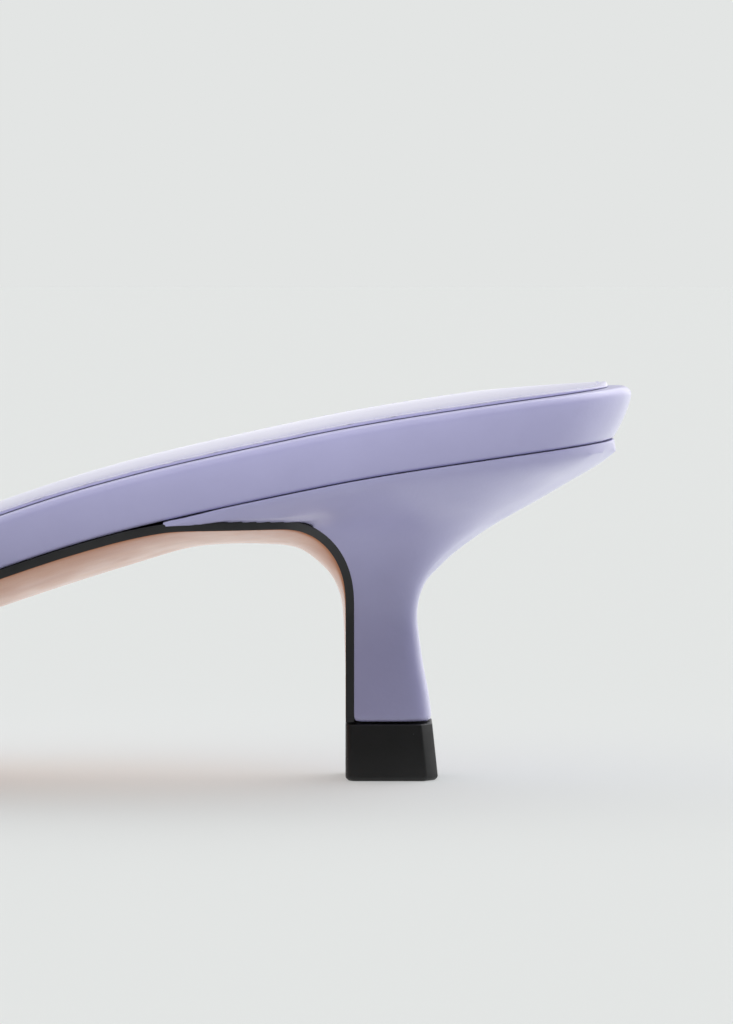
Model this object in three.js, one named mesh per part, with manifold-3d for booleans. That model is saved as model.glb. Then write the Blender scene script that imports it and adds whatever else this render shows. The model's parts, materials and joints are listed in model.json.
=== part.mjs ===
// Heeled sandal, left foot: a slip-on with a kitten heel and one plain band over the forefoot.
// Millimetres, +Z up. The toe points to -X and the outer side of the foot is -Y, and the shoe
// stands on the floor with the middle of its bounding box over the origin.
import * as THREE from "three";
import { mergeVertices } from "three/addons/utils/BufferGeometryUtils.js";
import Module from "manifold-3d";

const wasm = await Module();
wasm.setup();

// Driving dimensions of the last and the footbed
const footbedLength = 245; // back to toe, measured along the floor
const ballWidth = 76;
const seatWidth = 50;
const heelHeight = 50.9; // floor to the footbed's underside at the very back
const toeSpring = 5;
const backRound = 25; // length of the rounded end behind the seat
const toeRound = 30; // length of the rounded toe
const toeSlant = 6; // how far the little-toe side falls back at the tip
const waistEnd = 0.5; // share of the length where the seat's own width no longer counts

// The padded board wrapped in leather, and the sock stitched on top of it
const seatThickness = 7.4;
const toeThickness = 6;
const wallTaper = 1.3; // how far the wrapped wall leans in at its foot along the sides
const backTaper = 2.4; // and at the back
const rimRadius = 1.5;
const footRound = 0.4;
const sockInset = 3.4;
const sockThickness = 0.5;
const sockCrown = 0.5; // padding under the middle of the sock

// Outsole: a thin edge, and a domed waist that runs out down the front of the heel
const soleEdge = 1.3;
const waistDome = 5.4;
const shankLevel = 39; // height of the run from the waist to the front of the heel
const bendLength = 10.1;
const bendHeight = 12;
const bendBlend = 1;

// Heel and top piece
const heelSetback = 31.6; // from the back of the footbed to the narrowest part of the heel
const breastSetback = 40.9; // from the back of the footbed to the front face of the heel
const heelFootWidth = 12.4;
const heelFootLean = 2.2; // how far the back of the heel's foot lies behind the narrowest part
const heelCornerLength = 6;
const topPieceHeight = 8.4;
const topPieceOverhang = 0.15; // past the sides of the heel, at its top
const topPieceFlare = 0.9;
const topPieceSideFlare = 0.4;
const topPieceCutLength = 1.7; // back corners, cut off flat
const topPieceCutWidth = 2;
const topPieceFrontRound = 1.1;
const topPieceWear = 0.5; // slope of the edge that meets the floor

// Band over the forefoot
const bandWall = 2;
const bandInset = 4.9; // from the footbed's edge to the outside of the band, down in its slots
const bandTuck = 3.6; // how deep the ends go into the footbed
const bandSideLength = 50;
const bandTopLength = 43;
const bandOuterMiddle = 164; // from the back, where the band meets the outer side
const bandInnerMiddle = 173;
const bandLean = 5; // how far the top of the band sits behind its ends
const bandBulge = 5; // how far the sides swell past a plain arch
const bandToeHeight = 41; // top of the front edge, above the floor
const bandInstepHeight = 60; // top of the rear edge, above the floor
const instepSkew = 5; // the instep is highest towards the inner side
const archFullness = 2.35;

const seam = 0.3; // clearance between pieces that meet

// Fineness of the surfaces
const endSteps = 12; // round each end of the footbed
const lengthSteps = 30; // between its ends
const bandStepsOver = 40;
const bandStepsAlong = 6;
const slopeStep = 0.5; // half the length over which a slope is measured

// Footbed widths. at: share of the length from the back. outer, inner: shares of the ball width.
const widths = [
  { at: 0, outer: 0.329, inner: 0.329 },
  { at: 0.1, outer: 0.329, inner: 0.329 },
  { at: 0.2, outer: 0.331, inner: 0.325 },
  { at: 0.3, outer: 0.339, inner: 0.298 },
  { at: 0.38, outer: 0.352, inner: 0.284 },
  { at: 0.46, outer: 0.381, inner: 0.3 },
  { at: 0.54, outer: 0.427, inner: 0.358 },
  { at: 0.62, outer: 0.472, inner: 0.438 },
  { at: 0.7, outer: 0.495, inner: 0.497 },
  { at: 0.78, outer: 0.474, inner: 0.505 },
  { at: 0.86, outer: 0.418, inner: 0.486 },
  { at: 0.94, outer: 0.34, inner: 0.44 },
  { at: 1, outer: 0.27, inner: 0.39 },
];

// Underside of the footbed. lift: share of the heel height. spring: share of the toe spring.
const profile = [
  { at: 0, lift: 1, spring: 0 },
  { at: 0.04, lift: 0.976, spring: 0 },
  { at: 0.08, lift: 0.951, spring: 0 },
  { at: 0.16, lift: 0.8905, spring: 0 },
  { at: 0.22, lift: 0.831, spring: 0 },
  { at: 0.28, lift: 0.766, spring: 0 },
  { at: 0.33, lift: 0.7, spring: 0 },
  { at: 0.37, lift: 0.635, spring: 0 },
  { at: 0.41, lift: 0.563, spring: 0 },
  { at: 0.45, lift: 0.482, spring: 0 },
  { at: 0.49, lift: 0.39, spring: 0 },
  { at: 0.53, lift: 0.289, spring: 0 },
  { at: 0.57, lift: 0.188, spring: 0 },
  { at: 0.61, lift: 0.101, spring: 0 },
  { at: 0.65, lift: 0.04, spring: 0 },
  { at: 0.69, lift: 0.008, spring: 0 },
  { at: 0.72, lift: 0, spring: 0 },
  { at: 0.84, lift: 0, spring: 0 },
  { at: 0.9, lift: 0, spring: 0.22 },
  { at: 0.95, lift: 0, spring: 0.56 },
  { at: 1, lift: 0, spring: 1 },
];

// Dome of the outsole as shares of the waist dome: along the footbed, then down the heel's front.
const waistDomes = [
  { at: 0.2, dome: 0.66 },
  { at: 0.215, dome: 0.63 },
  { at: 0.23, dome: 0.59 },
  { at: 0.26, dome: 0.67 },
  { at: 0.28, dome: 0.85 },
  { at: 0.3, dome: 0.96 },
  { at: 0.36, dome: 1 },
  { at: 0.44, dome: 0.88 },
  { at: 0.52, dome: 0.56 },
  { at: 0.6, dome: 0.2 },
  { at: 0.67, dome: 0 },
  { at: 1, dome: 0 },
];
const breastDomes = [
  { up: 0, dome: 0 },
  { up: 0.3, dome: 0 },
  { up: 0.416, dome: 0.035 },
  { up: 0.473, dome: 0.07 },
  { up: 0.53, dome: 0.13 },
  { up: 0.571, dome: 0.213 },
  { up: 0.63, dome: 0.39 },
  { up: 0.697, dome: 0.6 },
  { up: 0.76, dome: 0.65 },
];

// Heel from its foot (up 0) to the footbed (up 1). back, side, front: shares of the way from the
// foot's outline to the footbed's, on the centreline behind, along the sides and at the front edge.
const heelFlare = [
  { up: 0, back: 0, side: 0, front: 0 },
  { up: 0.09, back: -0.017, side: -0.012, front: -0.01 },
  { up: 0.19, back: -0.047, side: -0.028, front: -0.02 },
  { up: 0.3, back: -0.071, side: -0.042, front: -0.03 },
  { up: 0.37, back: -0.082, side: -0.046, front: -0.03 },
  { up: 0.44, back: -0.067, side: -0.03, front: -0.01 },
  { up: 0.51, back: -0.02, side: 0.03, front: 0.08 },
  { up: 0.58, back: 0.077, side: 0.13, front: 0.25 },
  { up: 0.65, back: 0.215, side: 0.28, front: 0.46 },
  { up: 0.72, back: 0.38, side: 0.45, front: 0.65 },
  { up: 0.79, back: 0.575, side: 0.63, front: 0.79 },
  { up: 0.86, back: 0.755, side: 0.79, front: 0.89 },
  { up: 0.925, back: 0.93, side: 0.92, front: 0.96 },
  { up: 0.965, back: 1, side: 0.98, front: 0.99 },
  { up: 1, back: 1, side: 1, front: 1 },
];

// A smooth curve through one column of a table, by cubic pieces. A slope follows the neighbours
// and is level where the column turns or rests.
function curveOf(table, key, column) {
  const slope = table.map((row, i) => {
    const before = table[Math.max(i - 1, 0)];
    const after = table[Math.min(i + 1, table.length - 1)];
    const inside = i > 0 && i < table.length - 1;
    const turns = (row[column] - before[column]) * (after[column] - row[column]) <= 0;
    if (inside && turns) return 0;
    return (after[column] - before[column]) / (after[key] - before[key]);
  });
  return (where) => {
    const last = table.length - 1;
    const x = Math.min(Math.max(where, table[0][key]), table[last][key]);
    let i = 0;
    while (i < last - 1 && table[i + 1][key] < x) i += 1;
    const span = table[i + 1][key] - table[i][key];
    const t = (x - table[i][key]) / span;
    const rise = table[i + 1][column] - table[i][column];
    const a = slope[i] * span - rise;
    const b = rise - slope[i + 1] * span;
    return table[i][column] + t * rise + t * (1 - t) * (a * (1 - t) + b * t);
  };
}

const outerShare = curveOf(widths, "at", "outer");
const innerShare = curveOf(widths, "at", "inner");
const liftShare = curveOf(profile, "at", "lift");
const springShare = curveOf(profile, "at", "spring");
const waistDomeShare = curveOf(waistDomes, "at", "dome");
const breastDomeShare = curveOf(breastDomes, "up", "dome");
const backFlare = curveOf(heelFlare, "up", "back");
const sideFlare = curveOf(heelFlare, "up", "side");
const frontFlare = curveOf(heelFlare, "up", "front");

const mix = (a, b, share) => a + (b - a) * share;
const ease = (t) => t * t * (3 - 2 * t);
const clamp01 = (t) => Math.min(Math.max(t, 0), 1);

// Height of the footbed's underside, its slope and the footbed's thickness, at s from the back.
const tread = soleEdge + seam;
function underside(s) {
  const at = s / footbedLength;
  return tread + (heelHeight - tread) * liftShare(at) + toeSpring * springShare(at);
}
function pitch(s) {
  return Math.atan2(underside(s - slopeStep) - underside(s + slopeStep), 2 * slopeStep);
}
const thickness = (s) => mix(seatThickness, toeThickness, ease(clamp01(s / footbedLength)));

// A place over the footbed: s from the back, y across, and rise as thickness off the underside.
function onFootbed(s, y, rise) {
  return new THREE.Vector3(-s, y, underside(s) + rise / Math.cos(pitch(s)));
}

// Half widths of the footbed before its ends are rounded. side is -1 for outer and 1 for inner.
const seatShare = seatWidth / 2 / (widths[0].outer * ballWidth);
function halfWidth(side, s) {
  const at = s / footbedLength;
  const share = side < 0 ? outerShare(at) : innerShare(at);
  return share * ballWidth * mix(seatShare, 1, ease(clamp01(at / waistEnd)));
}

// Rounded ends: how the width closes over a superellipse quarter, and where that lies.
const backSquareness = 2.15;
const toeSquareness = 2.7;
const power = (value, n) => Math.pow(Math.max(value, 0), 2 / n);

// Stations of the outline, as s and the share of the width left there.
const toeStart = footbedLength - toeRound;
function backStations(steps) {
  return Array.from({ length: steps }, (_, k) => {
    const a = (k / steps) * (Math.PI / 2);
    const s = backRound * (1 - power(Math.cos(a), backSquareness));
    return { s, open: power(Math.sin(a), backSquareness) };
  });
}
function middleStations(from, to, steps) {
  return Array.from({ length: steps }, (_, k) => ({ s: mix(from, to, k / steps), open: 1 }));
}
function toeStations(steps) {
  return Array.from({ length: steps + 1 }, (_, k) => {
    const a = (k / steps) * (Math.PI / 2);
    const s = toeStart + toeRound * power(Math.sin(a), toeSquareness);
    return { s, open: power(Math.cos(a), toeSquareness) };
  });
}
const footbedStations = [
  ...backStations(endSteps),
  ...middleStations(backRound, toeStart, lengthSteps),
  ...toeStations(endSteps),
];

// How far the foot of the wall leans in, from the back to the sides.
const taper = (s) => mix(backTaper, wallTaper, ease(clamp01(s / backRound)));

// One side of the footbed's outline, moved in by an inset square to itself.
function outlineSide(side, insetAt, steps) {
  const edge = steps.map(({ s, open }) => {
    const middle = (halfWidth(1, s) - halfWidth(-1, s)) / 2;
    const half = (halfWidth(1, s) + halfWidth(-1, s)) / 2;
    const into = clamp01((s - toeStart) / toeRound);
    const fall = toeSlant * into * (0.5 - 0.5 * side * open);
    return new THREE.Vector2(s - fall, middle + side * half * open);
  });
  return edge.map((p, i) => {
    const inset = insetAt(steps[i].s);
    if (steps[i].open < 0.001) return new THREE.Vector2(p.x + (i === 0 ? inset : -inset), p.y);
    const before = edge[Math.max(i - 1, 0)];
    const along = edge[Math.min(i + 1, edge.length - 1)].clone().sub(before).normalize();
    return new THREE.Vector2(p.x + side * along.y * inset, p.y - side * along.x * inset);
  });
}

// Collects points and faces of one closed surface.
class Skin {
  constructor() {
    this.points = [];
    this.faces = [];
  }
  add(point) {
    this.points.push(point.x, point.y, point.z);
    return this.points.length / 3 - 1;
  }
  addRow(row) {
    return row.map((point) => this.add(point));
  }
  triangle(a, b, c) {
    this.faces.push(a, b, c);
  }
  quad(a, b, c, d) {
    this.triangle(a, b, c);
    this.triangle(a, c, d);
  }
  // Joins two rows of the same length, closed on themselves or open.
  bridge(lower, upper, closed) {
    const n = lower.length;
    for (let i = 0; i < (closed ? n : n - 1); i += 1) {
      const j = (i + 1) % n;
      this.quad(lower[i], lower[j], upper[j], upper[i]);
    }
  }
  // Fills a face between the two halves of its outline with rows that run across it. middle gives
  // the point of row i at a share of the way across.
  fill(outer, inner, columns, middle, flip) {
    const rows = outer.map((from, i) => {
      const row = [from];
      for (let k = 1; k < columns; k += 1) {
        row.push(from === inner[i] ? from : this.add(middle(i, k / columns)));
      }
      return [...row, inner[i]];
    });
    for (let i = 1; i < rows.length; i += 1) {
      if (flip) this.bridge(rows[i], rows[i - 1], false);
      else this.bridge(rows[i - 1], rows[i], false);
    }
  }
  // Fills one section's outline with a fan about its middle.
  cap(row, flip) {
    const middle = new THREE.Vector3();
    for (const i of row) middle.add(new THREE.Vector3().fromArray(this.points, i * 3));
    const centre = this.add(middle.divideScalar(row.length));
    row.forEach((a, i) => {
      const b = row[(i + 1) % row.length];
      if (flip) this.triangle(b, a, centre);
      else this.triangle(a, b, centre);
    });
  }
  // Places that coincide become one, and faces that close up to nothing are dropped.
  solid() {
    const loose = new THREE.BufferGeometry();
    loose.setAttribute("position", new THREE.Float32BufferAttribute(this.points, 3));
    loose.setIndex(this.faces);
    return solidOf(loose);
  }
}

function solidOf(loose) {
  const merged = mergeVertices(loose, 1e-4);
  const index = merged.index.array;
  const corners = [];
  for (let i = 0; i < index.length; i += 3) {
    const [a, b, c] = [index[i], index[i + 1], index[i + 2]];
    if (a !== b && b !== c && c !== a) corners.push(a, b, c);
  }
  const wrap = (order) => {
    const vertProperties = merged.attributes.position.array;
    return new wasm.Manifold(new wasm.Mesh({ numProp: 3, vertProperties, triVerts: order }));
  };
  const made = wrap(new Uint32Array(corners));
  return made.volume() > 0 ? made : wrap(new Uint32Array(corners.reverse()));
}

function geometryOf(solid) {
  const mesh = solid.getMesh();
  const geometry = new THREE.BufferGeometry();
  geometry.setAttribute("position", new THREE.BufferAttribute(mesh.vertProperties, 3));
  geometry.setIndex(new THREE.BufferAttribute(mesh.triVerts, 1));
  return geometry;
}

// A slab that follows the footbed: rings go round its edge from below to above, and both faces are
// filled by rows across. crown lifts the middle of the upper face.
function slab(rings, crown, steps, columns) {
  const skin = new Skin();
  const sides = rings.map(({ inset }) => [-1, 1].map((side) => outlineSide(side, inset, steps)));
  const point = (place, ring, lift) => onFootbed(place.x, place.y, ring.rise(place.x) + lift);
  const rows = rings.map((ring, r) => {
    const [outer, inner] = sides[r];
    const round = [...outer, ...inner.slice(1, -1).reverse()];
    return skin.addRow(round.map((place) => point(place, ring, 0)));
  });
  for (let r = 1; r < rows.length; r += 1) skin.bridge(rows[r - 1], rows[r], true);
  for (const [r, lift, flip] of [[0, 0, false], [rings.length - 1, crown, true]]) {
    const [outer, inner] = sides[r];
    const onOuter = rows[r].slice(0, steps.length);
    const onInner = [rows[r][0], ...rows[r].slice(steps.length - 1).reverse()];
    const middle = (i, k) => point(outer[i].clone().lerp(inner[i], k), rings[r], lift * 4 * k * (1 - k));
    skin.fill(onOuter, onInner, columns, middle, flip);
  }
  return skin.solid();
}

// Top face of the outsole in side view: under the footbed, along the shank, round the bend and down
// the front of the heel. Each place has the direction of the face's upper side.
function soleTop(s) {
  const board = underside(s) - seam;
  const blend = Math.max(bendBlend - Math.abs(board - shankLevel), 0) / bendBlend;
  return Math.min(board, shankLevel) - (blend * blend * bendBlend) / 4;
}
function soleRun(s) {
  const rise = soleTop(s - slopeStep) - soleTop(s + slopeStep);
  const along = new THREE.Vector2(-2 * slopeStep, rise).normalize();
  return { s, z: soleTop(s), up: new THREE.Vector2(along.y, -along.x) };
}
const bendStart = breastSetback + bendLength;
const bendFoot = soleTop(bendStart) - bendHeight;
function soleBend(a) {
  const s = bendStart - bendLength * Math.sin(a);
  const up = new THREE.Vector2(-Math.sin(a) / bendLength, Math.cos(a) / bendHeight).normalize();
  return { s, z: bendFoot + bendHeight * Math.cos(a), up };
}

// The wedge of the heel ends where the outsole comes up to the footbed.
const tipStep = 0.02;
let wedgeTip = bendStart;
while (underside(wedgeTip) - soleTop(wedgeTip) > 2 * seam) wedgeTip += tipStep;

// The outsole's top face behind the wedge's tip, by the level of the heel that it covers.
const heelBottom = topPieceHeight + seam;
const heelTop = underside(backTaper) - seam;
const bendFootLevel = (bendFoot - heelBottom) / (heelTop - heelBottom);
const bendTopLevel = 0.72; // heel level that meets the top of the bend
function soleBehind(up) {
  if (up < bendFootLevel) {
    const z = mix(heelBottom, bendFoot, up / bendFootLevel);
    return { s: breastSetback, z, up: new THREE.Vector2(-1, 0) };
  }
  if (up < bendTopLevel) {
    const turn = (up - bendFootLevel) / (bendTopLevel - bendFootLevel);
    return soleBend((1 - turn) * (Math.PI / 2));
  }
  return soleRun(mix(bendStart, wedgeTip, (up - bendTopLevel) / (1 - bendTopLevel)));
}

// The heel's outline at its foot and under the footbed: from the middle of the back (0) round the
// corner to cornerSteps, then along the side to the front edge at sideSteps.
const heelFootBack = heelSetback - heelFootLean;
const heelFootSquareness = 3.6;
const cornerSteps = 10;
const sideSteps = 18;
const heelSteps = [
  ...backStations(cornerSteps),
  ...middleStations(backRound, wedgeTip, sideSteps - cornerSteps),
  { s: wedgeTip, open: 1 },
];
const heelTopOutline = new Map([-1, 1].map((side) => [side, outlineSide(side, taper, heelSteps)]));
function heelFootOutline(side, i) {
  const half = (side * heelFootWidth) / 2;
  const front = breastSetback - seam;
  if (i <= cornerSteps) {
    const a = (i / cornerSteps) * (Math.PI / 2);
    const s = heelFootBack + heelCornerLength * (1 - power(Math.cos(a), heelFootSquareness));
    return new THREE.Vector2(s, half * power(Math.sin(a), heelFootSquareness));
  }
  const along = (i - cornerSteps) / (sideSteps - cornerSteps);
  return new THREE.Vector2(mix(heelFootBack + heelCornerLength, front, along), half);
}

// Side of the heel at one level: across the shoe, and the share of the way from back to front.
function heelAcross(side, i, up) {
  const foot = heelFootOutline(side, i);
  const top = heelTopOutline.get(side)[i];
  const corner = clamp01(i / cornerSteps);
  const along = clamp01((i - cornerSteps) / (sideSteps - cornerSteps));
  const spread = mix(mix(backFlare(up), sideFlare(up), ease(corner)), frontFlare(up), ease(along));
  const footShare = (foot.x - heelFootBack) / (breastSetback - seam - heelFootBack);
  const topShare = (top.x - backTaper) / (wedgeTip - backTaper);
  return { y: mix(foot.y, top.y, spread), share: mix(footShare, topShare, clamp01(sideFlare(up))) };
}
function heelPoint(side, i, up) {
  const { y, share } = heelAcross(side, i, up);
  const front = soleBehind(up);
  const s0 = mix(heelFootBack, backTaper, backFlare(up));
  const s = mix(s0, front.s + seam * front.up.x, share);
  const chord = mix(mix(heelBottom, heelTop, up), front.z + seam * front.up.y, share);
  const roofS = mix(backTaper, wedgeTip, share);
  const roof = underside(roofS) - seam;
  const bow = roof - mix(heelTop, underside(wedgeTip) - seam, share);
  return new THREE.Vector3(-s, y, up === 1 ? roof : chord + bow * ease(clamp01(2 * up - 1)));
}

const lilac = new THREE.MeshStandardMaterial({ color: 0xa9a8cf, roughness: 0.48, metalness: 0 });
const lilacSock = new THREE.MeshStandardMaterial({ color: 0xb4b2d8, roughness: 0.5, metalness: 0 });
const tanLeather = new THREE.MeshStandardMaterial({ color: 0xcfa489, roughness: 0.42, metalness: 0 });
const blackRubber = new THREE.MeshStandardMaterial({ color: 0x1c1c1e, roughness: 0.6, metalness: 0 });

// The band: t goes over the foot from the outer end (0) to the inner end (1), and b from the front
// edge (0) to the rear edge (1).
function bandMiddle(t) {
  const over = Math.sin(t * Math.PI);
  return mix(bandOuterMiddle, bandInnerMiddle, ease(t)) - bandLean * over;
}
function bandLength(t) {
  return mix(bandSideLength, bandTopLength, Math.sin(t * Math.PI));
}
const bandFront = bandOuterMiddle + bandSideLength / 2;
const bandRear = bandOuterMiddle - bandSideLength / 2;
function bandPoint(t, b) {
  const s = bandMiddle(t) + (0.5 - b) * bandLength(t);
  const outer = halfWidth(-1, s) - bandInset;
  const inner = halfWidth(1, s) - bandInset;
  const a = t * Math.PI;
  const over = power(Math.sin(a), archFullness);
  const swing = Math.sign(Math.cos(a)) * power(Math.abs(Math.cos(a)), archFullness);
  const height = mix(bandToeHeight, bandInstepHeight, (bandFront - s) / (bandFront - bandRear));
  const base = onFootbed(s, 0, thickness(s)).z;
  const rise = mix(-bandTuck, height - base, over);
  const swell = 4 * bandBulge * over * (1 - over) * Math.sign(Math.cos(a));
  const plain = (inner - outer) / 2 - (swing * (inner + outer)) / 2;
  return new THREE.Vector3(-s, plain - swell + instepSkew * over * Math.sin(a), base + rise);
}
function bandNormal(t, b) {
  const step = 0.01;
  const t0 = clamp01(t - step);
  const t1 = clamp01(t + step);
  const over = bandPoint(t1, b).sub(bandPoint(t0, b));
  const along = bandPoint(t, b + step).sub(bandPoint(t, b - step));
  return along.cross(over).normalize();
}

// grow widens the band all round, for the slots that take its ends.
function bandSolid(grow) {
  const skin = new Skin();
  const rows = [];
  for (let i = 0; i <= bandStepsOver; i += 1) {
    const t = i / bandStepsOver;
    const spare = grow / bandLength(t);
    const outside = [];
    const inside = [];
    for (let k = 0; k <= bandStepsAlong; k += 1) {
      const b = mix(-spare, 1 + spare, k / bandStepsAlong);
      const normal = bandNormal(t, b);
      const end = i === 0 || i === bandStepsOver ? -grow : 0;
      const place = bandPoint(t, b).add(new THREE.Vector3(0, 0, end));
      outside.push(place.clone().addScaledVector(normal, grow));
      inside.push(place.addScaledVector(normal, -bandWall - grow));
    }
    rows.push(skin.addRow([...outside, ...inside.reverse()]));
  }
  for (let i = 1; i < rows.length; i += 1) skin.bridge(rows[i - 1], rows[i], true);
  skin.cap(rows[0], true);
  skin.cap(rows[rows.length - 1], false);
  return skin.solid();
}

const bandSlots = bandSolid(seam);

function footbedSolid() {
  const rim = [0, 30, 60, 90].map((degrees) => {
    const a = THREE.MathUtils.degToRad(degrees);
    const down = rimRadius * (1 - Math.sin(a));
    return { inset: () => rimRadius * (1 - Math.cos(a)), rise: (s) => thickness(s) - down };
  });
  const foot = [
    { inset: (s) => taper(s) + footRound, rise: () => 0 },
    { inset: taper, rise: () => footRound },
  ];
  const besideRim = { inset: () => 2 * rimRadius, rise: thickness };
  return slab([...foot, ...rim, besideRim], 0, footbedStations, 2).subtract(bandSlots);
}

function sockSolid() {
  const face = (lift) => (s) => thickness(s) + seam + lift;
  const soft = sockThickness / 3;
  const rings = [
    { inset: () => sockInset, rise: face(0) },
    { inset: () => sockInset, rise: face(sockThickness - soft) },
    { inset: () => sockInset + soft, rise: face(sockThickness) },
  ];
  return slab(rings, sockCrown, footbedStations, 4).subtract(bandSlots);
}

function heelSolid() {
  const skin = new Skin();
  const rings = [];
  const levels = 28;
  for (let j = 0; j <= levels; j += 1) {
    const up = j / levels;
    const side = (hand) => heelSteps.map((_, i) => heelPoint(hand, i, up));
    const outer = side(-1);
    const inner = side(1);
    const front = outer[sideSteps].clone().lerp(inner[sideSteps], 0.5);
    rings.push(skin.addRow([...outer, front, ...inner.slice(1).reverse()]));
  }
  for (let j = 1; j < rings.length; j += 1) skin.bridge(rings[j - 1], rings[j], true);
  for (const [ring, flip] of [[rings[0], false], [rings[levels], true]]) {
    const outer = ring.slice(0, sideSteps + 1);
    const inner = [ring[0], ...ring.slice(sideSteps + 2).reverse()];
    const place = (index) => new THREE.Vector3().fromArray(skin.points, index * 3);
    const middle = (i, k) => place(outer[i]).lerp(place(inner[i]), k);
    skin.fill(outer, inner, 2, middle, flip);
  }
  return skin.solid();
}

function outsoleSolid() {
  const columns = [-1, -0.96, -0.72, -0.42, 0, 0.42, 0.72, 0.96, 1];
  const levels = 28;
  const steps = [...middleStations(wedgeTip, toeStart, lengthSteps), ...toeStations(endSteps)];
  const [outer, inner] = [-1, 1].map((side) => outlineSide(side, taper, steps).reverse());

  const skin = new Skin();
  const rows = [];
  const addRow = (place, dome) => {
    const point = (share, down) => {
      const { s, y, z, up } = place((share + 1) / 2);
      return new THREE.Vector3(-(s - down * up.x), y, z - down * up.y);
    };
    const top = [point(-1, 0), point(0, 0), point(1, 0)];
    const below = columns.map((share) => point(-share, soleEdge + dome * (1 - share * share)));
    rows.push(skin.addRow([...top, ...below]));
  };
  outer.forEach((from, i) => {
    addRow((across) => {
      const place = from.clone().lerp(inner[i], across);
      return { ...soleRun(place.x), y: place.y };
    }, waistDome * waistDomeShare(from.x / footbedLength));
  });
  for (let j = levels - 1; j >= 0; j -= 1) {
    const up = j / levels;
    const place = soleBehind(up);
    const edges = [-1, 1].map((side) => heelAcross(side, sideSteps, up).y);
    const share = up < bendTopLevel
      ? breastDomeShare(place.z / heelHeight)
      : waistDomeShare(place.s / footbedLength);
    addRow((across) => ({ ...place, y: mix(edges[0], edges[1], across) }), waistDome * share);
  }
  for (let i = 1; i < rows.length; i += 1) skin.bridge(rows[i - 1], rows[i], true);
  skin.cap(rows[rows.length - 1], false);
  return skin.solid();
}

function topPieceSolid() {
  const skin = new Skin();
  const front = breastSetback + soleEdge;
  const cornerArc = [0, 30, 60, 90].map((degrees) => THREE.MathUtils.degToRad(degrees));
  const ring = (z, shrink) => {
    const down = 1 - z / topPieceHeight;
    const half = heelFootWidth / 2 + topPieceOverhang + topPieceSideFlare * down - shrink;
    const back = heelFootBack - topPieceFlare * down + shrink;
    const arcFront = front - shrink - topPieceFrontRound;
    const arcSide = half - topPieceFrontRound;
    const hand = (side) => [
      new THREE.Vector3(-back, side * (half - topPieceCutWidth), z),
      new THREE.Vector3(-back - topPieceCutLength, side * half, z),
      ...cornerArc.map((a) => {
        const s = arcFront + topPieceFrontRound * Math.sin(a);
        return new THREE.Vector3(-s, side * (arcSide + topPieceFrontRound * Math.cos(a)), z);
      }),
    ];
    return skin.addRow([...hand(-1), ...hand(1).reverse()]);
  };
  const rows = [ring(0, topPieceWear), ring(topPieceWear, 0), ring(topPieceHeight, 0)];
  for (let i = 1; i < rows.length; i += 1) skin.bridge(rows[i - 1], rows[i], true);
  skin.cap(rows[0], true);
  skin.cap(rows[rows.length - 1], false);
  return skin.solid();
}

const sandal = new THREE.Group();
sandal.name = "heeled_sandal";
function addPiece(name, solid, material) {
  const mesh = new THREE.Mesh(geometryOf(solid), material);
  mesh.name = name;
  sandal.add(mesh);
}
addPiece("footbed", footbedSolid(), lilac);
addPiece("sock", sockSolid(), lilacSock);
addPiece("upper_band", bandSolid(0), lilac);
addPiece("heel", heelSolid(), lilac);
addPiece("outsole", outsoleSolid(), tanLeather);
addPiece("top_piece", topPieceSolid(), blackRubber);

const box = new THREE.Box3().setFromObject(sandal);
const centre = box.getCenter(new THREE.Vector3());
sandal.position.set(-centre.x, -centre.y, -box.min.z);

export default sandal;
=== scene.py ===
import json
import math

import bpy
from mathutils import Euler, Matrix, Vector
from mathutils.bvhtree import BVHTree
from mathutils.kdtree import KDTree

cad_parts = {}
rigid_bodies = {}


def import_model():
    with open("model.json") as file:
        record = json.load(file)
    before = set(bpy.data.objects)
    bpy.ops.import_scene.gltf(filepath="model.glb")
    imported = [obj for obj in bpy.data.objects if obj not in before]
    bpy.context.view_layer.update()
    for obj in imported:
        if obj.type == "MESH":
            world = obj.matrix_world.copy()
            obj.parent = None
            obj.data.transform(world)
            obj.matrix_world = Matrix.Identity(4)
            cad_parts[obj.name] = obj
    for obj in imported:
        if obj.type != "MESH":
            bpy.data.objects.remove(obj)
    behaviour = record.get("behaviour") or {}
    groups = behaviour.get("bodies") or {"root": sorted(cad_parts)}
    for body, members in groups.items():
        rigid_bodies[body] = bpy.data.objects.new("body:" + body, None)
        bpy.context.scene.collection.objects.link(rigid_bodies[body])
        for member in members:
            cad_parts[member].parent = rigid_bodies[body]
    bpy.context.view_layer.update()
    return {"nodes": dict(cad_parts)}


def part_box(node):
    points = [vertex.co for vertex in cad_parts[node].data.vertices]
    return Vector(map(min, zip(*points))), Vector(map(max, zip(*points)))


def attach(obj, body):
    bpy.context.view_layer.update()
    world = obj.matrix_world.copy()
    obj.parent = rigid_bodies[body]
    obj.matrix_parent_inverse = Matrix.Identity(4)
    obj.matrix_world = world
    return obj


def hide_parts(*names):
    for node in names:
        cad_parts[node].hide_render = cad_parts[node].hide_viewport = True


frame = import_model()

MM = 0.001
BACK_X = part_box("footbed")[1].x
CENTRE_Y = (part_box("top_piece")[0].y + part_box("top_piece")[1].y) / 2


def clamped(share):
    return min(max(share, 0), 1)


# Camera: level with the footbed, square to the outer side, with a long lens
EYE_DISTANCE = 700 * MM
EYE_HEIGHT = 73 * MM
EYE_SETBACK = 39.1 * MM  # ahead of the back of the footbed
EYE_PITCH = math.radians(2.75)
LENS_LENGTH = 166.4


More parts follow.
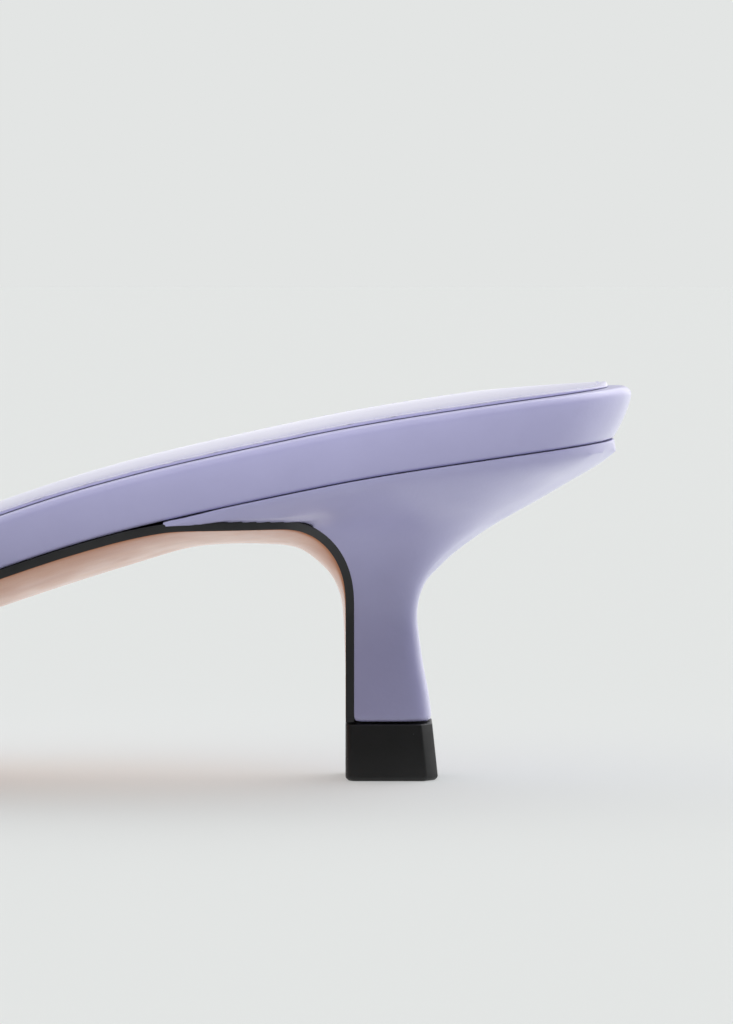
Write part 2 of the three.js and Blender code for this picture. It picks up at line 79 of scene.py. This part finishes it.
def make_camera():
    data = bpy.data.cameras.new("side_camera")
    data.lens = LENS_LENGTH
    data.clip_end = 400
    camera = bpy.data.objects.new("side_camera", data)
    camera.location = (BACK_X - EYE_SETBACK, CENTRE_Y - EYE_DISTANCE, EYE_HEIGHT)
    camera.rotation_euler = Euler((math.pi / 2 - EYE_PITCH, 0, 0))
    bpy.context.collection.objects.link(camera)
    bpy.context.scene.camera = camera


# Materials

def linear(code):
    """An sRGB hex colour as linear red, green, blue and alpha."""
    shares = [int(code[i:i + 2], 16) / 255 for i in (1, 3, 5)]
    return (*[c / 12.92 if c <= 0.04045 else ((c + 0.055) / 1.055) ** 2.4 for c in shares], 1)


def add_node(tree, kind, inputs=None, **settings):
    """Adds a node. inputs maps its sockets to a value, or to the output that feeds them."""
    made = tree.nodes.new(kind)
    for name, value in settings.items():
        setattr(made, name, value)
    for socket, value in (inputs or {}).items():
        if isinstance(value, bpy.types.NodeSocket):
            tree.links.new(value, made.inputs[socket])
        else:
            made.inputs[socket].default_value = value
    return made


def per_metre(width):
    """Scale of a pattern whose cells are width millimetres wide, on coordinates in metres."""
    return 1 / (width * MM)


def new_material(name):
    material = bpy.data.materials.new(name)
    material.use_nodes = True
    tree = material.node_tree
    tree.nodes.clear()
    place = add_node(tree, "ShaderNodeTexCoord").outputs["Object"]
    return material, tree, place


def finish_material(tree, shader):
    add_node(tree, "ShaderNodeOutputMaterial", {"Surface": shader.outputs[0]})


def mottled(tree, place, low, high, width):
    """A colour that drifts between two close shades over patches of the given width."""
    cloud = add_node(tree, "ShaderNodeTexNoise",
                     {"Vector": place, "Scale": per_metre(width), "Detail": 3, "Roughness": 0.6})
    spread = add_node(tree, "ShaderNodeMapRange",
                      {"Value": cloud.outputs[0], "From Min": 0.3, "From Max": 0.7})
    mixed = add_node(tree, "ShaderNodeMix",
                     {0: spread.outputs[0], 6: linear(low), 7: linear(high)}, data_type="RGBA")
    return mixed.outputs[2]


def drifting(tree, place, low, high, width):
    """A number that drifts between two limits over patches of the given width."""
    cloud = add_node(tree, "ShaderNodeTexNoise",
                     {"Vector": place, "Scale": per_metre(width), "Detail": 2})
    spread = add_node(tree, "ShaderNodeMapRange",
                      {"Value": cloud.outputs[0], "From Min": 0.3, "From Max": 0.7,
                       "To Min": low, "To Max": high})
    return spread.outputs[0]


def hide_grain(tree, place, grain_width, grain_depth, under=None):
    """Bump of a leather's pebbles over its slow unevenness, on top of another bump if given."""
    slow = add_node(tree, "ShaderNodeTexNoise",
                    {"Vector": place, "Scale": per_metre(9), "Detail": 2, "Roughness": 0.5})
    settings = {"Height": slow.outputs[0], "Strength": 1, "Distance": 0.03 * MM}
    if under:
        settings["Normal"] = under
    wave = add_node(tree, "ShaderNodeBump", settings)
    pebbles = add_node(tree, "ShaderNodeTexVoronoi",
                       {"Vector": place, "Scale": per_metre(grain_width), "Randomness": 1},
                       feature="SMOOTH_F1")
    grain = add_node(tree, "ShaderNodeBump",
                     {"Height": pebbles.outputs[0], "Strength": 1, "Distance": grain_depth,
                      "Normal": wave.outputs[0]})
    return grain.outputs[0]


def nappa(name, shade, deep_shade, under=None, bloom=0.15):
    """Drum-dyed nappa with a thin clear finish: an even colour, tiny pebbles and a silky gloss.

    bloom is how far it pales where it is seen at a low angle.
    """
    material, tree, place = new_material(name)
    bump = under(tree) if under else None
    shader = add_node(tree, "ShaderNodeBsdfPrincipled", {
        "Base Color": mottled(tree, place, deep_shade, shade, 7),
        "Roughness": drifting(tree, place, 0.36, 0.44, 4),
        "IOR": 1.5,
        "Specular IOR Level": 0.5,
        "Coat Weight": 0.4,
        "Coat Roughness": 0.22,
        "Sheen Weight": bloom,
        "Sheen Roughness": 0.35,
        "Normal": hide_grain(tree, place, 0.5, 0.012 * MM, bump),
    })
    finish_material(tree, shader)
    return material


# The row of stitches round the sock
STITCH_PITCH = 1.75 * MM
STITCH_MARGIN = 1.3 * MM  # from the sock's edge
STITCH_LENGTH = 1.35 * MM
THREAD_THICKNESS = 0.28 * MM
GROOVE_HALF_WIDTH = 0.55  # millimetres, as the from_edge attribute holds
GROOVE_DEPTH = 0.1 * MM
STITCH_SINK = 0.2 * THREAD_THICKNESS
STITCH_DIVE = 0.75 * THREAD_THICKNESS  # how far its ends go down


def sewn_groove(tree):
    """Bump of the furrow that the stitches pull into the leather, along the piece's own edge."""
    edge = add_node(tree, "ShaderNodeAttribute", attribute_name="from_edge")
    apart = add_node(tree, "ShaderNodeMath", {0: edge.outputs["Fac"], 1: STITCH_MARGIN / MM},
                     operation="SUBTRACT")
    away = add_node(tree, "ShaderNodeMath", {0: apart.outputs[0]}, operation="ABSOLUTE")
    rise = add_node(tree, "ShaderNodeMapRange",
                    {"Value": away.outputs[0], "From Min": 0, "From Max": GROOVE_HALF_WIDTH},
                    interpolation_type="SMOOTHSTEP")
    return add_node(tree, "ShaderNodeBump",
                    {"Height": rise.outputs[0], "Strength": 1, "Distance": GROOVE_DEPTH}).outputs[0]


def sole_leather():
    """Vegetable-tanned sole leather, burnished and waxed: long fibres and a soft shine."""
    material, tree, place = new_material("burnished_sole_leather")
    along = add_node(tree, "ShaderNodeMapping", {"Vector": place, "Scale": (0.12, 1, 1)})
    fibres = add_node(tree, "ShaderNodeTexNoise",
                      {"Vector": along.outputs[0], "Scale": per_metre(0.6), "Detail": 4})
    fibre_bump = add_node(tree, "ShaderNodeBump",
                          {"Height": fibres.outputs[0], "Strength": 1, "Distance": 0.01 * MM})
    shader = add_node(tree, "ShaderNodeBsdfPrincipled", {
        "Base Color": mottled(tree, along.outputs[0], "#b87043", "#c38156", 5),
        "Roughness": drifting(tree, place, 0.3, 0.4, 6),
        "IOR": 1.5,
        "Coat Weight": 0.25,
        "Coat Roughness": 0.2,
        "Normal": hide_grain(tree, place, 0.4, 0.01 * MM, fibre_bump.outputs[0]),
    })
    finish_material(tree, shader)
    return material


def edge_ink():
    """Black edge ink, rolled on in coats: satin, with the slight waves of a brush."""
    material, tree, place = new_material("black_edge_ink")
    along = add_node(tree, "ShaderNodeMapping", {"Vector": place, "Scale": (0.25, 1, 1)})
    waves = add_node(tree, "ShaderNodeTexNoise",
                     {"Vector": along.outputs[0], "Scale": per_metre(0.8), "Detail": 2})
    bump = add_node(tree, "ShaderNodeBump",
                    {"Height": waves.outputs[0], "Strength": 1, "Distance": 0.02 * MM})
    shader = add_node(tree, "ShaderNodeBsdfPrincipled", {
        "Base Color": mottled(tree, place, "#262627", "#2d2d2e", 3),
        "Roughness": drifting(tree, place, 0.38, 0.5, 3),
        "IOR": 1.5,
        "Normal": bump.outputs[0],
    })
    finish_material(tree, shader)
    return material


def top_piece_rubber():
    """Hard moulded rubber: near black and dull, with a fine mould grain and a little dust."""
    material, tree, place = new_material("moulded_black_rubber")
    grit = add_node(tree, "ShaderNodeTexNoise",
                    {"Vector": place, "Scale": per_metre(0.25), "Detail": 4})
    bump = add_node(tree, "ShaderNodeBump",
                    {"Height": grit.outputs[0], "Strength": 1, "Distance": 0.012 * MM})
    specks = add_node(tree, "ShaderNodeTexVoronoi", {"Vector": place, "Scale": per_metre(1.3)})
    dust = add_node(tree, "ShaderNodeMapRange",
                    {"Value": specks.outputs[0], "From Min": 0.05, "From Max": 0.1,
                     "To Min": 0.5, "To Max": 0})
    colour = add_node(tree, "ShaderNodeMix",
                      {0: dust.outputs[0], 6: mottled(tree, place, "#09090a", "#0e0e0f", 4),
                       7: linear("#6d6c70")}, data_type="RGBA")
    shader = add_node(tree, "ShaderNodeBsdfPrincipled", {
        "Base Color": colour.outputs[2],
        "Roughness": drifting(tree, place, 0.46, 0.6, 3),
        "IOR": 1.52,
        "Normal": bump.outputs[0],
    })
    finish_material(tree, shader)
    return material


def sewing_thread():
    """Twisted polyester thread, dyed to match: the plies catch the light as fine slanted ridges."""
    material, tree, place = new_material("twisted_sewing_thread")
    plies = add_node(tree, "ShaderNodeTexWave",
                     {"Vector": place, "Scale": per_metre(1.2), "Distortion": 0.5},
                     bands_direction="DIAGONAL")
    bump = add_node(tree, "ShaderNodeBump",
                    {"Height": plies.outputs[1], "Strength": 1, "Distance": 0.03 * MM})
    shader = add_node(tree, "ShaderNodeBsdfPrincipled", {
        "Base Color": mottled(tree, place, "#c6c4e0", "#d0cee6", 1),
        "Roughness": 0.55,
        "IOR": 1.53,
        "Sheen Weight": 0.2,
        "Normal": bump.outputs[0],
    })
    finish_material(tree, shader)
    return material


# Modelling helpers

def only(piece):
    bpy.ops.object.select_all(action="DESELECT")
    piece.select_set(True)
    bpy.context.view_layer.objects.active = piece


def select_faces(piece, wanted):
    """In edit mode, selects the faces whose centre and normal wanted says yes to."""
    bpy.ops.mesh.select_mode(type="FACE")
    bpy.ops.mesh.select_all(action="DESELECT")
    bpy.ops.object.mode_set(mode="OBJECT")
    for face in piece.data.polygons:
        face.select = wanted(face.center, face.normal)
    bpy.ops.object.mode_set(mode="EDIT")


def select_edges(piece, sharpness, wanted):
    """In edit mode, selects the sharp edges whose middle wanted says yes to."""
    bpy.ops.mesh.select_mode(type="EDGE")
    bpy.ops.mesh.select_all(action="DESELECT")
    bpy.ops.mesh.edges_select_sharp(sharpness=math.radians(sharpness))
    bpy.ops.object.mode_set(mode="OBJECT")
    points = piece.data.vertices
    for edge in piece.data.edges:
        middle = (points[edge.vertices[0]].co + points[edge.vertices[1]].co) / 2
        edge.select = edge.select and wanted(middle)
    bpy.ops.object.mode_set(mode="EDIT")


def anywhere(place):
    return True


def round_edges(piece, radius, segments, sharpness=35, wanted=anywhere):
    select_edges(piece, sharpness, wanted)
    bpy.ops.mesh.bevel(offset=radius, segments=segments, affect="EDGES", clamp_overlap=False)


def merged_copy(node, name):
    """A copy of a CAD node with its loose triangles merged, in edit mode."""
    mesh = frame["nodes"][node].data.copy()
    mesh.name = name
    mesh.materials.clear()
    piece = bpy.data.objects.new(name, mesh)
    bpy.context.collection.objects.link(piece)
    only(piece)
    bpy.ops.mesh.customdata_custom_splitnormals_clear()
    bpy.ops.object.mode_set(mode="EDIT")
    bpy.ops.mesh.select_mode(type="FACE")
    bpy.ops.mesh.select_all(action="SELECT")
    bpy.ops.mesh.remove_doubles(threshold=0.004 * MM)
    return piece


def pair_triangles():
    bpy.ops.mesh.select_mode(type="FACE")
    bpy.ops.mesh.select_all(action="SELECT")
    bpy.ops.mesh.tris_convert_to_quads(face_threshold=math.radians(30),
                                       shape_threshold=math.radians(60), materials=True)


def press_against(piece, wanted, distance):
    """Moves a side of the piece square to itself, to close the joint with its neighbour."""
    bpy.ops.object.mode_set(mode="OBJECT")
    facing = {}
    for face in piece.data.polygons:
        if wanted(face.center, face.normal):
            for index in face.vertices:
                facing[index] = facing.get(index, Vector()) + face.normal
    for index, normal in facing.items():
        piece.data.vertices[index].co += normal.normalized() * distance
    bpy.ops.object.mode_set(mode="EDIT")


def finish_piece(piece, node, levels):
    """Leaves edit mode, smooths the piece and puts it in its node's place."""
    bpy.ops.object.mode_set(mode="OBJECT")
    if levels:
        bpy.ops.object.modifier_add(type="SUBSURF")
        smooth = piece.modifiers[-1]
        smooth.levels = levels
        smooth.render_levels = levels
        bpy.ops.object.modifier_apply(modifier=smooth.name)
    bpy.ops.object.shade_smooth_by_angle(angle=math.radians(40))
    if node:
        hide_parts(node)
    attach(piece, "root")
    return piece


def soften(piece, rounds, wanted):
    """Works the wanted faces smooth, as a thumb would, but not the edge round them."""
    bpy.ops.object.mode_set(mode="EDIT")
    select_faces(piece, wanted)
    bpy.ops.mesh.select_less()
    bpy.ops.mesh.select_mode(type="VERT")
    bpy.ops.mesh.vertices_smooth(factor=0.5, repeat=rounds)
    bpy.ops.object.mode_set(mode="OBJECT")


# Pieces

SEAM_FILL = 0.22 * MM  # cement that closes a joint, leaving a fine dark line
FLAP_FILL = 0.36 * MM  # the same between the heel and the outsole's flap
EDGE_BREAK = 0.12 * MM  # how round a cut edge is
RIM_ROUND = 0.42 * MM  # the wrap's turn over the footbed's rim
SEAT_SLOPE = math.tan(math.radians(10.7))
SEAT_END = 16 * MM  # the part of the footbed whose wrap bellies out
WRAP_HEIGHT = 7.6 * MM
WRAP_BELLY = 0.45 * MM
SKIVING = 0.15 * MM  # leather pared off the sock
EDGE_SKIVING = 0.4 * MM  # more of it towards the outline
SKIVED_WIDTH = 5  # millimetres, as the from_edge attribute holds
ARCH_PAD = 0.85 * MM  # fitted to the outline, as the padding itself is out of sight
ARCH_FADE = 20 * MM
SOCK_END = 16 * MM  # the sock thins further towards its back end
END_SKIVING = 0.3 * MM


def faces_down(centre, normal):
    return normal.z < -0.8


def faces_up(centre, normal):
    return normal.z > 0.8


def on_top(point):
    return point.normal.z > 0.3


def make_footbed(leather):
    """Wrapped footbed: the leather turns over the rim in a soft round."""
    piece = merged_copy("footbed", "wrapped_footbed")
    press_against(piece, faces_down, SEAM_FILL)
    pair_triangles()
    round_edges(piece, RIM_ROUND, 3, sharpness=50)
    finish_piece(piece, "footbed", 2)
    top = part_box("footbed")[1].z
    for point in piece.data.vertices:
        behind = clamped((point.co.x - BACK_X) / SEAT_END + 1)
        share = (point.co.z - top + SEAT_SLOPE * (BACK_X - point.co.x)) / WRAP_HEIGHT + 1
        if 0 < share < 1:
            out = Vector((point.normal.x, point.normal.y, 0))
            point.co += out * (4 * share * (1 - share) * behind * WRAP_BELLY)
    piece.data.materials.append(leather)
    return piece


def make_sock(leather):
    """Sock with a skived edge, so its upper corner is soft."""
    piece = merged_copy("sock", "stitched_sock")
    press_against(piece, faces_down, SEAM_FILL)
    press_against(piece, faces_up, -SKIVING)
    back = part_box("sock")[1].x
    bpy.ops.object.mode_set(mode="OBJECT")
    for point in piece.data.vertices:
        near_end = clamped((point.co.x - back) / SOCK_END + 1)
        if on_top(point):
            point.co.z -= END_SKIVING * near_end ** 2
    bpy.ops.object.mode_set(mode="EDIT")
    pair_triangles()
    round_edges(piece, EDGE_BREAK, 2, sharpness=50)
    finish_piece(piece, "sock", 2)
    piece.data.materials.append(leather)
    return piece


HEEL_ROLL = 0.75 * MM  # the cover's turn under the heel, above the top piece
LAP = 0.4 * MM  # how far the cover laps down over the joint with the outsole
LAP_TOP = 40.8 * MM
LAP_HEIGHT = 1 * MM
LAP_END = 76 * MM  # ahead of the leg
LAP_FADE = 9 * MM
TIP_LIFT = 0.6 * MM  # closes the heel's thin front end against the footbed
TIP_END = 60 * MM
TIP_FADE = 6 * MM


def make_heel(leather):
    """Covered heel: leather pulled round the core and rolled under at its foot."""
    piece = merged_copy("heel", "covered_heel")
    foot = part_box("heel")[0].z + 0.2 * MM

    def meets_outsole(centre, normal):
        return centre.z > foot and (normal.x < -0.6 or normal.z < -0.6) and abs(normal.y) < 0.1

    press_against(piece, meets_outsole, FLAP_FILL)
    pair_triangles()
    round_edges(piece, HEEL_ROLL, 4, wanted=lambda place: place.z < foot)
    round_edges(piece, EDGE_BREAK, 2, sharpness=50)
    finish_piece(piece, "heel", 1)
    for point in piece.data.vertices:
        ahead = clamped((LAP_END - point.co.x) / LAP_FADE)
        share = clamped((LAP_TOP - point.co.z) / LAP_HEIGHT) * ahead
        point.co.z -= LAP * share ** 2 * (3 - 2 * share)
        if on_top(point):
            point.co.z += TIP_LIFT * clamped((TIP_END - point.co.x) / TIP_FADE)
    piece.data.materials.append(leather)
    return piece


FLAP_START = 66 * MM  # behind this the outsole turns down over the heel's front
FLAP_FOOT = 12 * MM  # height of the flap's lower end, which is inked too
SOFTENED_FROM = 20 * MM


def is_inked(centre, normal):
    """The outsole's cut edge, the foot of its flap, and the glued side that nobody sees."""
    at_flap = centre.x > FLAP_START
    glued = normal.z > 0.25 or (at_flap and normal.x > 0.6)
    cut_edge = abs(normal.y) > 0.58 or (not at_flap and normal.z > -0.35)
    flap_foot = at_flap and centre.z < FLAP_FOOT and normal.z < -0.6
    return glued or cut_edge or flap_foot


def make_outsole(leather, ink):
    """Domed outsole whose cut edge and the end of its flap are inked black."""
    piece = merged_copy("outsole", "outsole_with_flap")
    piece.data.materials.append(leather)
    piece.data.materials.append(ink)
    select_faces(piece, is_inked)
    piece.active_material_index = 1
    bpy.ops.object.material_slot_assign()
    pair_triangles()
    round_edges(piece, EDGE_BREAK, 2, sharpness=50)
    finish_piece(piece, "outsole", 2)
    soften(piece, 40,
           lambda centre, normal: centre.x > SOFTENED_FROM and not is_inked(centre, normal))
    return piece


TOP_PIECE_ROUND = 0.22 * MM


def make_top_piece(rubber):
    """Moulded top piece: flat sides, cut back corners, edges just broken."""
    piece = merged_copy("top_piece", "moulded_top_piece")
    pair_triangles()
    round_edges(piece, TOP_PIECE_ROUND, 3, sharpness=25)
    finish_piece(piece, "top_piece", 0)
    piece.data.materials.append(rubber)
    return piece


BAND_FOLD = 0.7 * MM  # the turned edge's roundness


def make_band(leather):
    """Plain band with its edges rounded like turned-in leather, stitched along both edges by
    sew_band.
    """
    piece = merged_copy("upper_band", "forefoot_band")
    pair_triangles()
    round_edges(piece, BAND_FOLD, 3, sharpness=50)
    finish_piece(piece, "upper_band", 2)
    piece.data.materials.append(leather)
    return piece


# Stitches

def make_stitch():
    """One stitch as a short thread whose ends dive into the leather."""
    bpy.ops.object.select_all(action="DESELECT")
    bpy.ops.mesh.primitive_cylinder_add(vertices=6, radius=THREAD_THICKNESS / 2,
                                        depth=STITCH_LENGTH, rotation=(0, math.pi / 2, 0))
    stitch = bpy.context.object
    bpy.ops.object.transform_apply(location=False, rotation=True, scale=False)
    bpy.ops.object.mode_set(mode="EDIT")
    for side in (-1, 1):
        bpy.ops.mesh.select_all(action="SELECT")
        bpy.ops.mesh.bisect(plane_co=(side * STITCH_LENGTH * 0.25, 0, 0), plane_no=(1, 0, 0))
    bpy.ops.mesh.select_mode(type="VERT")
    bpy.ops.mesh.select_all(action="DESELECT")
    bpy.ops.object.mode_set(mode="OBJECT")
    for point in stitch.data.vertices:
        point.select = abs(point.co.x) > 0.45 * STITCH_LENGTH
    bpy.ops.object.mode_set(mode="EDIT")
    bpy.ops.transform.resize(value=(1, 0.6, 0.6))
    bpy.ops.transform.translate(value=(0, 0, -STITCH_DIVE))
    bpy.ops.object.mode_set(mode="OBJECT")
    bpy.ops.object.shade_smooth()
    return stitch


def surface_of(piece):
    return BVHTree.FromObject(piece, bpy.context.evaluated_depsgraph_get())


def walk(line, pitch):
    """Places at an even pitch along a line of points, each with the line's direction."""
    places = []
    left = pitch / 2
    for start, end in zip(line, line[1:]):
        length = (end - start).length
        while left < length:
            places.append((start.lerp(end, left / length), (end - start).normalized()))
            left += pitch
        left -= length
    return places


def sew(name, stitch, seats, thread):
    """Copies the stitch to each seat, given as a place, a direction and the leather's normal."""
    bpy.ops.object.select_all(action="DESELECT")
    for place, along, normal in seats:
        across = normal.cross(along).normalized()
        ahead = across.cross(normal)
        turn = Matrix((ahead, across, normal)).transposed().to_4x4()
        mesh = stitch.data.copy()
        mesh.transform(Matrix.Translation(place - normal * STITCH_SINK) @ turn)
        copy = bpy.data.objects.new(name, mesh)
        bpy.context.collection.objects.link(copy)
        copy.select_set(True)
        bpy.context.view_layer.objects.active = copy
    bpy.ops.object.join()
    row = bpy.context.object
    row.name = name
    row.data.materials.append(thread)
    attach(row, "root")
    return row


BAND_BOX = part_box("upper_band")
UP = Vector((0, 0, 1))
RAY_START = 0.2  # metres, well clear of the shoe


def sock_outline():
    """The sock's edge seen from above, as a closed line of points."""
    mesh = frame["nodes"]["sock"].data
    found = {}
    for face in mesh.polygons:
        under_band = BAND_BOX[0].x - 2 * MM < face.center.x < BAND_BOX[1].x + 2 * MM
        if abs(face.normal.z) < 0.25 and not under_band:
            for index in face.vertices:
                place = mesh.vertices[index].co
                found[(round(place.x, 4), round(place.y, 4))] = Vector((place.x, place.y, 0))
    line = sorted(found.values(), key=lambda place: math.atan2(place.y, -place.x))
    return [*line, line[0]]


def moved_in(line, inset):
    """A closed line moved in by an inset square to itself."""
    corners = line[:-1]
    moved = []
    for i, place in enumerate(corners):
        along = (corners[(i + 1) % len(corners)] - corners[i - 1]).normalized()
        moved.append(place + inset * Vector((along.y, -along.x, 0)))
    return [*moved, moved[0]]


def mark_edge_distance(piece, line):
    """Keeps each vertex's distance from the piece's edge, in millimetres, as an attribute."""
    dense = [place for place, _ in walk(line, 0.4 * MM)]
    tree = KDTree(len(dense))
    for i, place in enumerate(dense):
        tree.insert(place, i)
    tree.balance()
    layer = piece.data.attributes.new("from_edge", "FLOAT", "POINT")
    for point in piece.data.vertices:
        flat = Vector((point.co.x, point.co.y, 0))
        layer.data[point.index].value = tree.find(flat)[2] / MM


def skive_edge(sock):
    """Pares the sock's outer edge and raises its inner side.

    The rise is a guess: it brings the sock's far outline up to where the photo has it.
    """
    distances = sock.data.attributes["from_edge"].data
    low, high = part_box("sock")
    for point in sock.data.vertices:
        if on_top(point):
            behind = clamped((point.co.x - BAND_BOX[1].x) / ARCH_FADE)
            ahead = clamped((high.x - point.co.x) / ARCH_FADE)
            padded = (point.co.y - low.y) / (high.y - low.y) * behind * ahead
            share = max(1 - distances[point.index].value / SKIVED_WIDTH, 0)
            point.co.z += ARCH_PAD * padded - EDGE_SKIVING * share ** 2 * (1 - padded) * ahead


def sew_sock(sock, stitch, thread):
    line = sock_outline()
    mark_edge_distance(sock, line)
    skive_edge(sock)
    surface = surface_of(sock)
    seats = []
    for place, along in walk(moved_in(line, STITCH_MARGIN), STITCH_PITCH):
        if BAND_BOX[0].x - 3 * MM < place.x < BAND_BOX[1].x + 3 * MM:
            continue
        hit, normal, _, _ = surface.ray_cast(place + RAY_START * UP, -UP)
        if hit:
            seats.append((hit, along, normal))
    return sew("sock_stitches", stitch, seats, thread)


BAND_MARGIN = 2.2 * MM  # from the band's edge to its stitches
BAND_AXIS_HEIGHT = 14 * MM  # the rays that find the band's surface run towards this line
BAND_PITCH = 1.25 * STITCH_PITCH


def angle_round_foot(place):
    return math.atan2(place.z - BAND_AXIS_HEIGHT, place.y)


def sew_band(band, stitch, thread):
    """A row of stitches along the front and the rear edge of the band."""
    surface = surface_of(band)
    mesh = frame["nodes"]["upper_band"].data
    seats = []
    for side in (-1, 1):
        rim = [face.center for face in mesh.polygons if side * face.normal.x > 0.75]
        rim = sorted((angle_round_foot(place), place.x)
                     for place in rim if place.z > BAND_AXIS_HEIGHT)
        line = []
        for turn, x in rim:
            out = Vector((0, math.cos(turn), math.sin(turn)))
            start = Vector((x - side * BAND_MARGIN, 0, BAND_AXIS_HEIGHT)) + RAY_START * out
            hit, normal, _, _ = surface.ray_cast(start, -out)
            if hit:
                line.append(hit)
        for place, along in walk(line, BAND_PITCH):
            hit, normal, _, _ = surface.find_nearest(place)
            seats.append((hit, along, normal))
    return sew("band_stitches", stitch, seats, thread)


# Floor and light: strengths, directions and the spot's cone were fitted to brightness measured
# in the photo. They aren't a known studio's.

BACKDROP = linear("#e3e5e4")
FLOOR_PAPER = linear("#b3b5b4")
FLOOR_GLOW = 0.445  # the floor's own light as the camera sees it
REAR_GLOW = 1.15  # as it lights the shoe, from behind it
FRONT_GLOW = 0.18  # and from before it
FLOOR_FADE = 40 * MM
FLOOR_SIZE = 300  # metres, so that its edge is the horizon


def make_floor():
    """Pale paper with a light of its own, so shadows stay faint.

    The camera sees one strength of that light, and the shoe is lit by another.
    """
    bpy.ops.object.select_all(action="DESELECT")
    bpy.ops.mesh.primitive_plane_add(size=FLOOR_SIZE)
    floor = bpy.context.object
    floor.name = "paper_floor"
    material, tree, place = new_material("glowing_backdrop_paper")
    paper = add_node(tree, "ShaderNodeBsdfDiffuse", {"Color": FLOOR_PAPER})
    across = add_node(tree, "ShaderNodeSeparateXYZ", {"Vector": place}).outputs["Y"]
    # The paper glows with light of its own, though it is no lamp: this glow lights the shoe in
    # place of a bounce from the floor, stronger behind the shoe than before it
    glow_on_shoe = add_node(tree, "ShaderNodeMapRange",
                       {"Value": across, "From Min": CENTRE_Y - FLOOR_FADE,
                        "From Max": CENTRE_Y + FLOOR_FADE,
                        "To Min": FRONT_GLOW, "To Max": REAR_GLOW},
                       interpolation_type="SMOOTHSTEP")
    seen = add_node(tree, "ShaderNodeLightPath").outputs["Is Camera Ray"]
    strength = add_node(tree, "ShaderNodeMix",
                        {0: seen, 2: glow_on_shoe.outputs[0], 3: FLOOR_GLOW}, data_type="FLOAT")
    glow = add_node(tree, "ShaderNodeEmission",
                    {"Color": BACKDROP, "Strength": strength.outputs[0]})
    both = add_node(tree, "ShaderNodeAddShader", {0: paper.outputs[0], 1: glow.outputs[0]})
    finish_material(tree, both)
    floor.data.materials.append(material)


AMBIENT = 0.01


def make_world():
    """The camera sees the backdrop's own colour; the room's light is softer than that."""
    world = bpy.data.worlds.new("studio")
    bpy.context.scene.world = world
    world.use_nodes = True
    tree = world.node_tree
    tree.nodes.clear()
    seen = add_node(tree, "ShaderNodeLightPath").outputs["Is Camera Ray"]
    room = add_node(tree, "ShaderNodeBackground", {"Color": (1, 1, 1, 1), "Strength": AMBIENT})
    paper = add_node(tree, "ShaderNodeBackground", {"Color": BACKDROP, "Strength": 1})
    mixed = add_node(tree, "ShaderNodeMixShader",
                     {0: seen, 1: room.outputs[0], 2: paper.outputs[0]})
    add_node(tree, "ShaderNodeOutputWorld", {"Surface": mixed.outputs[0]})


def add_softbox(name, azimuth, elevation, width, strength):
    """A soft light without end: azimuth 0 shines from behind the camera, 90 from the heel's end."""
    data = bpy.data.lights.new(name, "SUN")
    data.energy = strength
    data.angle = math.radians(width)
    light = bpy.data.objects.new(name, data)
    light.rotation_euler = Euler((math.radians(90 - elevation), 0, math.radians(azimuth)))
    bpy.context.collection.objects.link(light)


def add_front_spot(pieces, distance, setback, height, spread, power):
    """A spot on the shoe's pieces alone, aimed high so that it fades out down the heel."""
    data = bpy.data.lights.new("front_spot", "SPOT")
    data.energy = power
    data.spot_size = math.radians(spread)
    data.spot_blend = 0.4
    data.shadow_soft_size = 0.01 * distance
    light = bpy.data.objects.new("front_spot", data)
    light.location = (BACK_X - setback, CENTRE_Y - distance, height)
    light.rotation_euler = Euler((math.pi / 2, 0, 0))
    light.visible_glossy = False
    bpy.context.collection.objects.link(light)
    lit = bpy.data.collections.new("lit_by_front_spot")
    for piece in pieces:
        lit.objects.link(piece)
    light.light_linking.receiver_collection = lit


def make_studio(pieces):
    make_floor()
    make_world()
    add_softbox("overhead_softbox", azimuth=180, elevation=88, width=120, strength=2)
    add_softbox("backdrop_glow", azimuth=180, elevation=10, width=120, strength=0.9)
    add_softbox("heel_end_softbox", azimuth=130, elevation=20, width=80, strength=1.7)
    add_front_spot(pieces, distance=1500 * MM, setback=99 * MM, height=324 * MM,
                   spread=23.4, power=103)
    bpy.context.scene.view_settings.view_transform = "Standard"


make_camera()
lilac_nappa = nappa("lilac_nappa", "#b8b6df", "#b4b2db")
# The sock is seen at so low an angle that its bloom, more than its colour, gives its paleness
sock_nappa = nappa("lilac_sock_nappa", "#c0bee2", "#bcbadf", under=sewn_groove, bloom=0.5)
thread = sewing_thread()

sock = make_sock(sock_nappa)
band = make_band(lilac_nappa)
stitch = make_stitch()
shoe = [
    make_footbed(lilac_nappa),
    sock,
    make_heel(lilac_nappa),
    make_outsole(sole_leather(), edge_ink()),
    make_top_piece(top_piece_rubber()),
    band,
    sew_sock(sock, stitch, thread),
    sew_band(band, stitch, thread),
]
bpy.data.objects.remove(stitch)

make_studio(shoe)
